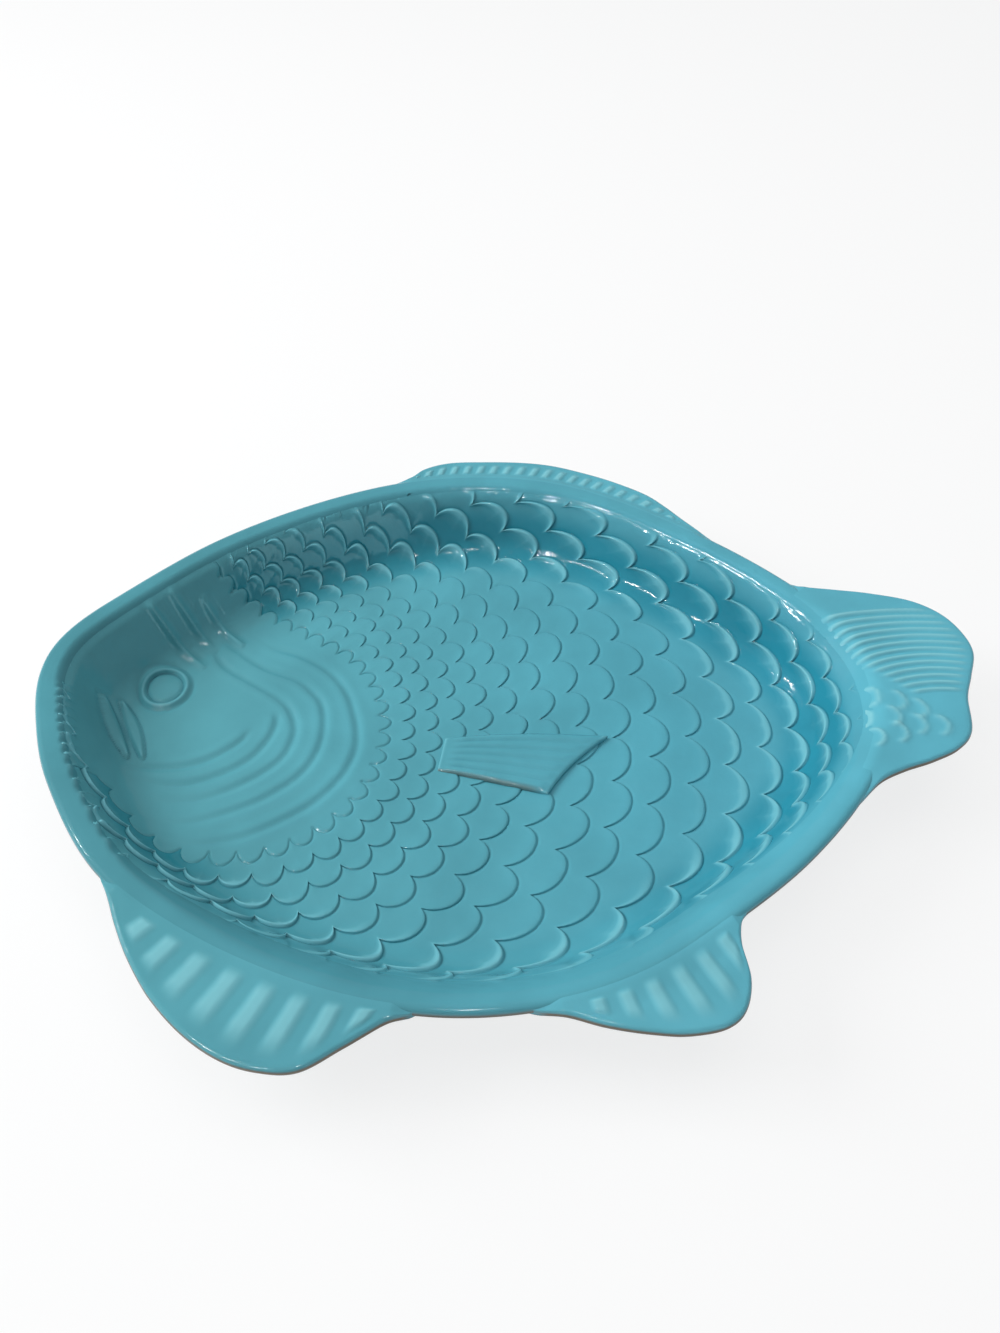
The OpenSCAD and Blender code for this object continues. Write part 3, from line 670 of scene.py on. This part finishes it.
def rim_band():
    """Band round the mouth: rounded outer edge, flat top and a lip that runs down into the well."""
    rows = len(RIM_UNDER) + RIM_TOP_ROWS + len(RIM_DIVE)
    bm, column, row = grid(RIM_COLUMNS + 1, rows + 1)
    station = (column % RIM_COLUMNS) * len(MOUTH) / RIM_COLUMNS
    row = row % rows
    inner = lip(station, 2) + RIM_OVER_SKINS
    top = row - len(RIM_UNDER)
    share = np.clip(top / (RIM_TOP_ROWS - 1), 0, 1)
    inset = RIM_TOP_FROM + (inner - RIM_TOP_FROM) * share
    lift = 0.03 - 0.15 * ease(4, 8, -inset)
    dive = top - RIM_TOP_ROWS
    inset = np.where(dive == 0, inner + 0.6, np.where(dive == 1, inner + 0.8, inset))
    inset = np.where(dive == 2, inner, np.where(dive == 3, (inner - 4) / 2, inset))
    lift = np.where(dive >= 0, RIM_DIVE[np.clip(dive, 0, len(RIM_DIVE) - 1)], lift)
    inset, height = beside_face(inset, station, lift)
    under = np.array(RIM_UNDER)[np.clip(row, 0, len(RIM_UNDER) - 1)]
    outside = row < len(RIM_UNDER)
    inset = np.where(outside, under[:, 0], inset)
    height = np.where(outside, under[:, 1], height)
    place(bm, np.concatenate([beside_mouth(station, inset), height[:, None]], 1))
    keep(bm, "edge", outside * ease(-9.6, -10.0, inset) * (1 - ease(41.2, 42.4, height)))
    bmesh.ops.remove_doubles(bm, verts=bm.verts, dist=1e-4)
    bmesh.ops.recalc_face_normals(bm, faces=bm.faces)
    return new_piece("rim_band_glazed", bm, rim_glaze, ["rim_band"])


rim = rim_band()

FOOT_OUTSIDE = FILLET_AT + 2
FOOT_COLUMNS = 420
foot_section = [
    (FOOT_OUTSIDE, 5.2), (FOOT_OUTSIDE, 1.4), (FOOT_OUTSIDE + 0.4, 0.5), (FOOT_OUTSIDE + 1.3, 0.0),
    (FOOT_OUTSIDE + 4, 0.0), (FOOT_OUTSIDE + 6.7, 0.0), (FOOT_OUTSIDE + 7.6, 0.5), (FOOT_OUTSIDE + 8, 1.4),
    (FOOT_OUTSIDE + 8, 5.2), (FOOT_OUTSIDE + 4, 5.6)]
foot = ring_piece("foot_ring_clay", foot_section, FOOT_COLUMNS, foot_clay, ["foot_ring"])

# Insets of the shell's rows, from the floor up the inside and down the outside again.
SHELL_INNER = [60, 44, 34, 30, 27, 24, 21, 18, 15.5, 13, 9, 5, 1.5]
SHELL_OUTER = [-2, 1, 5, 9, 12, 14.5, 17, 19.5, 22, 25, 28, 34, 60]
SHELL_UNDER_SKINS = -1.8
WALL_THICKNESS = 6.0
SHELL_TOP = 42
SHELL_COLUMNS = 420


def dish_shell():
    """Closed wall and floor under the skins, with the smooth outside of the dish."""
    inset = np.array(SHELL_INNER + SHELL_OUTER, float)
    lift = np.array([SHELL_UNDER_SKINS] * len(SHELL_INNER) + [-WALL_THICKNESS] * len(SHELL_OUTER))
    bm, column, row = grid(SHELL_COLUMNS + 1, len(inset))
    station = (column % SHELL_COLUMNS) * len(MOUTH) / SHELL_COLUMNS
    plan = beside_mouth(station, inset[row])
    true_inset, inward, near = inset_of(plan)
    points = on_well(plan, lift[row], true_inset, inward, near)
    points[:, 2] = np.clip(points[:, 2], FOOT_HEIGHT, SHELL_TOP)
    place(bm, points)
    bmesh.ops.remove_doubles(bm, verts=bm.verts, dist=1e-4)
    bmesh.ops.holes_fill(bm, edges=[e for e in bm.edges if e.is_boundary], sides=0)
    bmesh.ops.recalc_face_normals(bm, faces=bm.faces)
    return new_piece("dish_shell", bm, rim_glaze, ["dish_body"])


dish = dish_shell()


def fin_edge(edge, reach, columns):
    """Stations along a fin and its reach beyond the rim there. At both ends the fin dives into the rim."""
    line, share = curve_through(edge, 40)
    at = np.linspace(0, 1, columns)
    station = np.interp(at, share, line[:, 0])
    reach_there = np.maximum(np.interp(at, share, line[:, 1]) * reach / 100, 0.1)
    return station, reach_there - 2.4 * np.exp(-reach_there / 2.5)


FIN_ROWS = 26
TIP_ROWS = 7
UNDER_ROWS = 4
FIN_TIP = 2.3
RAY_SHARE = 0.75


def bars(at, count, share):
    """Rounded rays with narrow ends: places are counted in rays, and the share runs from root to tip."""
    off = 2 * np.abs(at - np.floor(at) - 0.5)
    ends = ease(0, 0.2, share) * (1 - ease(0.6, 1, share))
    return ends * ease(RAY_SHARE, 0.15, off) * ((at > 0) & (at < count))


def fin(name, edge, reach, root, settle, relief, columns, nodes):
    """Fin on the rim: a plate with a rounded edge, its root under the rim's top, and relief on its face.

    The face settles from the rim's top to the fin's between two distances from the rim's edge.
    """
    station, edge_reach = fin_edge(edge, reach, columns)
    rows = FIN_ROWS + TIP_ROWS + UNDER_ROWS
    bm, column, row = grid(columns, rows + 1)
    row = row % rows
    s, r = station[column], edge_reach[column]
    tip = np.clip(r * 0.45, 0.4, FIN_TIP)
    top = row < FIN_ROWS
    back = row >= FIN_ROWS + TIP_ROWS
    out = root + (r - tip - root) * np.clip(row / (FIN_ROWS - 1), 0, 1)
    turn = np.pi * np.clip((row - FIN_ROWS + 1) / (TIP_ROWS + 1), 0, 1)
    out = np.where(top, out, r - tip + tip * np.sin(turn))
    way_back = np.clip((row - FIN_ROWS - TIP_ROWS) / (UNDER_ROWS - 1), 0, 1)
    out = np.where(back, r - tip + (root - r + tip) * way_back, out)
    plan = beside_mouth(s, -(RIM_WIDTH + out))
    face = top_height(-(RIM_WIDTH + out), s) + 0.12 - 0.5 * (1 - ease(root, root + 4, out))
    face = face + (FIN_TOP - face) * ease(*settle, out) - 1.4 * (1 - ease(0, 4, r))
    rounded = FIN_THICKNESS / 2 * (1 - np.cos(turn))
    rays = top * relief(s, out, r, plan)
    height = face - rounded + rays
    height = np.where(back, FIN_TOP - FIN_THICKNESS, height)
    place(bm, np.concatenate([plan, height[:, None]], 1))
    # Paler raised rays: thin glaze and a painted highlight.
    keep(bm, "thin_glaze_and_highlight", np.clip(rays, 0, 1))
    keep(bm, "edge", (turn > 0.9) * (1 - ease(2.2, 3.0, turn)) * ease(0, 2, r))
    bmesh.ops.remove_doubles(bm, verts=bm.verts, dist=1e-4)
    bmesh.ops.holes_fill(bm, edges=[e for e in bm.edges if e.is_boundary], sides=0)
    bmesh.ops.recalc_face_normals(bm, faces=bm.faces)
    return new_piece(name, bm, fin_glaze, nodes)


RAY_MARGIN = 3.5


def fan(span, slant, rays, root, height):
    """Relief of rays that fan out from the rim between two stations."""
    def relief(s, out, r, plan):
        at = (s - slant * np.clip(out / np.maximum(r, 1), 0, 1) - span[0]) / (span[1] - span[0]) * rays
        share = (out - root) / np.maximum(r - RAY_MARGIN - root, 1)
        return height * bars(at, rays, np.clip(share, 0, 1)) * (r > root + RAY_MARGIN + 1)
    return relief


TAIL_RAYS = 13
TAIL_RAY_TOP = np.polyfit((160, 168.6, 182, 196.6, 224.3, 236), (36, 40.9, 45, 47.6, 48.5, 48), 3)
TAIL_RAY_LOW = np.polyfit((170, 180.6, 190, 201, 214.8, 232), (-26, -14, -6.5, -0.7, 1.5, 0), 3)
TAIL_SCALES = [(186, -2), (192.5, -13.5), (197, -5), (205.5, -9), (203, -17.5), (213, -18), (193.5, -22),
               (183, -24), (181, -12)]


def tail_relief(s, out, r, plan):
    """Rays that sweep from the lip of the well to the end of the tail, and small scales below them."""
    x, y = plan.T
    top, low = np.polyval(TAIL_RAY_TOP, x), np.polyval(TAIL_RAY_LOW, x)
    at = (top - y) / np.maximum(top - low, 5) * (TAIL_RAYS - 1) + 0.5
    start = np.interp(y, (-12, -0.7, 15.2, 40.9, 50), (212, 201, 181.5, 170, 167))
    shown = ease(0, 6, x - start) * ease(2.5, 8, r - out)
    relief = 0.9 * bars(at, TAIL_RAYS, np.full(len(at), 0.5)) * shown
    for centre in TAIL_SCALES:
        away = plan - np.array(centre) + (3.5, 0)
        gap = np.linalg.norm(away, axis=1)
        shown = ease(-0.2, 0.5, away[:, 0] / np.maximum(gap, 0.1))
        relief += 0.8 * shown * np.exp(-((gap - 4.8) / 1.1) ** 2) * ease(1.5, 4, r - out)
    return relief


# Each fin has its edge as [station, reach in percent], its whole reach, its root and where its face settles.
dorsal = fin("dorsal_fin_ribbed", [
    (4.95, 4), (5.25, 30), (5.45, 68), (5.75, 90), (6.2, 92), (6.85, 100), (7.3, 95), (7.75, 93),
    (8.15, 86), (8.4, 66), (8.65, 42), (8.95, 20), (9.25, 5)],
    14, -4.5, (-3.5, 3), fan((5.2, 8.75), 0.1, 22, 1.0, 0.8), 420, ["dorsal_fin", "dorsal_fin_rays"])
tail = fin("tail_fin_ribbed", [
    (9.95, 1), (10.25, 3), (10.45, 10), (10.75, 32), (11.05, 59), (11.3, 81), (11.55, 95), (11.8, 100),
    (12, 98), (12.25, 85), (12.5, 74), (12.85, 71), (13.05, 60), (13.25, 42), (13.5, 21), (13.8, 7),
    (14.2, 2)],
    50, -9.5, (-9, 18), tail_relief, 360, ["tail_fin", "tail_fin_rays"])
anal = fin("anal_fin_ribbed", [
    (15.75, 3), (15.95, 8), (16.1, 28), (16.25, 68), (16.45, 94), (16.65, 100), (16.9, 87), (17.2, 63),
    (17.5, 39), (17.8, 16), (18.15, 3)],
    29, -4.5, (-4.5, 9), fan((16.1, 17.65), 0, 6, 0.5, 0.75), 240, ["anal_fin", "anal_fin_rays"])
pelvic = fin("pelvic_fin_ribbed", [
    (19.1, 3), (19.35, 17), (19.6, 48), (19.85, 84), (20.1, 97), (20.35, 100), (20.65, 92), (21, 73),
    (21.3, 51), (21.55, 29), (21.75, 12), (21.95, 3)],
    32, -4.5, (-4.5, 9), fan((19.35, 21.45), 0.1, 8, 0.5, 0.75), 300, ["pelvic_fin", "pelvic_fin_rays"])

PECTORAL_ROOT = np.array([(-7, -4), (-10, -22)], float)
PECTORAL_TIP = np.array([(69, -4), (40, -35)], float)
PECTORAL_TOP = 14.3
PECTORAL_RIBS = 6


def pectoral_fin():
    """Fin that lies on the scales, low at its root and high along its free edge."""
    columns, rows = 60, 56
    bm, column, row = grid(columns, rows)
    a = np.clip((column - 1) / (columns - 3), 0, 1)
    b = np.clip((row - 1) / (rows - 3), 0, 1)
    root = PECTORAL_ROOT[0] + (PECTORAL_ROOT[1] - PECTORAL_ROOT[0]) * b[:, None]
    tip = PECTORAL_TIP[0] + (PECTORAL_TIP[1] - PECTORAL_TIP[0]) * b[:, None]
    plan = root + (tip - root) * a[:, None]
    plan[:, 1] += 1.5 * np.sin(np.pi * a) * (1 - b)
    plan[:, 0] += -3.0 * np.sin(np.pi * b) * a
    off = 2 * np.abs(b * PECTORAL_RIBS - np.floor(b * PECTORAL_RIBS) - 0.5)
    rib = 0.7 * (1 - off ** 2.2) * ease(0.03, 0.15, a) * (1 - ease(0.9, 0.98, a))
    edge = np.minimum(np.minimum(b, 1 - b) * 22, (1 - a) * 60)
    height = PECTORAL_TOP - 1.6 * (1 - a) ** 3 + rib - 0.7 * (1 - ease(0, 1.4, edge))
    skirt = (column == 0) | (column == columns - 1) | (row == 0) | (row == rows - 1)
    height = np.where(skirt, FLOOR_TOP - 0.6, height)
    place(bm, np.concatenate([plan, height[:, None]], 1))
    keep(bm, "edge", 0.6 * ease(0.93, 1, b) * (1 - ease(0.8, 1, a)))
    bmesh.ops.holes_fill(bm, edges=[e for e in bm.edges if e.is_boundary], sides=0)
    bmesh.ops.recalc_face_normals(bm, faces=bm.faces)
    return new_piece("pectoral_fin_ribbed", bm, well_glaze, [
        "pectoral_fin", "pectoral_fin_rays"])


pectoral = pectoral_fin()


def pale_floor():
    """Pale table that shows white to the camera and keeps the platter's shadow."""
    bm = bmesh.new()
    bmesh.ops.create_grid(bm, x_segments=1, y_segments=1, size=4)
    mesh = bpy.data.meshes.new("floor")
    bm.to_mesh(mesh)
    bm.free()
    floor = bpy.data.objects.new("floor", mesh)
    bpy.context.scene.collection.objects.link(floor)
    material = bpy.data.materials.new("floor_white")
    material.use_nodes = True
    nodes, links = material.node_tree.nodes, material.node_tree.links
    nodes.clear()
    out = nodes.new("ShaderNodeOutputMaterial")
    matt = nodes.new("ShaderNodeBsdfDiffuse")
    matt.inputs["Color"].default_value = (0.85, 0.85, 0.85, 1)
    glow = nodes.new("ShaderNodeEmission")
    seen = nodes.new("ShaderNodeLightPath")
    share = nodes.new("ShaderNodeMath")
    share.operation = "MULTIPLY"
    share.inputs[1].default_value = 0.8
    links.new(seen.outputs["Is Camera Ray"], share.inputs[0])
    both = nodes.new("ShaderNodeMixShader")
    links.new(share.outputs[0], both.inputs["Fac"])
    links.new(matt.outputs[0], both.inputs[1])
    links.new(glow.outputs[0], both.inputs[2])
    links.new(both.outputs[0], out.inputs["Surface"])
    mesh.materials.append(material)


def lamp(name, place, target, size, power, mirrored=True, lights=True, tint=(1, 1, 1)):
    """Lamp that lights the platter, is mirrored in its glaze, or both."""
    data = bpy.data.lights.new(name, "AREA")
    data.shape = "RECTANGLE"
    data.size, data.size_y = size
    data.energy = power
    data.color = tint
    lamp_object = bpy.data.objects.new(name, data)
    bpy.context.scene.collection.objects.link(lamp_object)
    direction = np.array(target) - np.array(place)
    lamp_object.location = place
    yaw = math.atan2(direction[1], direction[0])
    pitch = math.atan2(math.hypot(direction[0], direction[1]), -direction[2])
    lamp_object.rotation_euler = (pitch, 0, yaw - math.pi / 2)
    lamp_object.visible_glossy = mirrored
    lamp_object.visible_diffuse = lights


# Small bright lamps to the left and behind the camera. They only show as sparkles on the far wall's scales.
SPARKS = [(-0.05, -0.8, 1.39), (-0.56, -0.97, 1.0), (-0.72, -0.645, 1.15), (-0.92, -0.53, 1.06),
          (-1.27, 0.04, 0.8)]


def studio():
    world = bpy.data.worlds.new("studio")
    bpy.context.scene.world = world
    world.use_nodes = True
    nodes, links = world.node_tree.nodes, world.node_tree.links
    room = nodes["Background"]
    room.inputs["Color"].default_value = (0.82, 0.88, 0.92, 1)
    room.inputs["Strength"].default_value = 0.31
    backdrop = nodes.new("ShaderNodeBackground")
    seen = nodes.new("ShaderNodeLightPath")
    both = nodes.new("ShaderNodeMixShader")
    links.new(seen.outputs["Is Camera Ray"], both.inputs["Fac"])
    links.new(room.outputs[0], both.inputs[1])
    links.new(backdrop.outputs[0], both.inputs[2])
    links.new(both.outputs[0], nodes["World Output"].inputs["Surface"])
    lamp("window", (-1.25, 0.22, 0.95), (0, 0, 0.02), (0.9, 0.8), 21, mirrored=False)
    lamp("ceiling", (0.0, 0.3, 1.7), (0, 0, 0), (1.6, 1.1), 11, mirrored=False)
    lamp("window_shine", (-1.25, 0.22, 0.95), (0, 0, 0.02), (0.9, 0.8), 6, lights=False)
    lamp("front_shine", (0.68, -1.31, 0.32), (0, 0, 0.02), (0.6, 0.5), 1.3, lights=False,
         tint=(0.5, 0.85, 0.9))
    for place in SPARKS:
        lamp("spark", place, (0, 0, 0), (0.05, 0.05), 1.5, lights=False)


def camera():
    data = bpy.data.cameras.new("camera")
    data.lens = 27.0
    data.sensor_width = 36
    view = bpy.data.objects.new("camera", data)
    bpy.context.scene.collection.objects.link(view)
    view.location = (-0.00506, -0.2628, 0.4024)
    view.rotation_euler = (math.radians(38), 0, 0)
    bpy.context.scene.camera = view


pale_floor()
studio()
camera()
bpy.context.scene.view_settings.view_transform = "Standard"
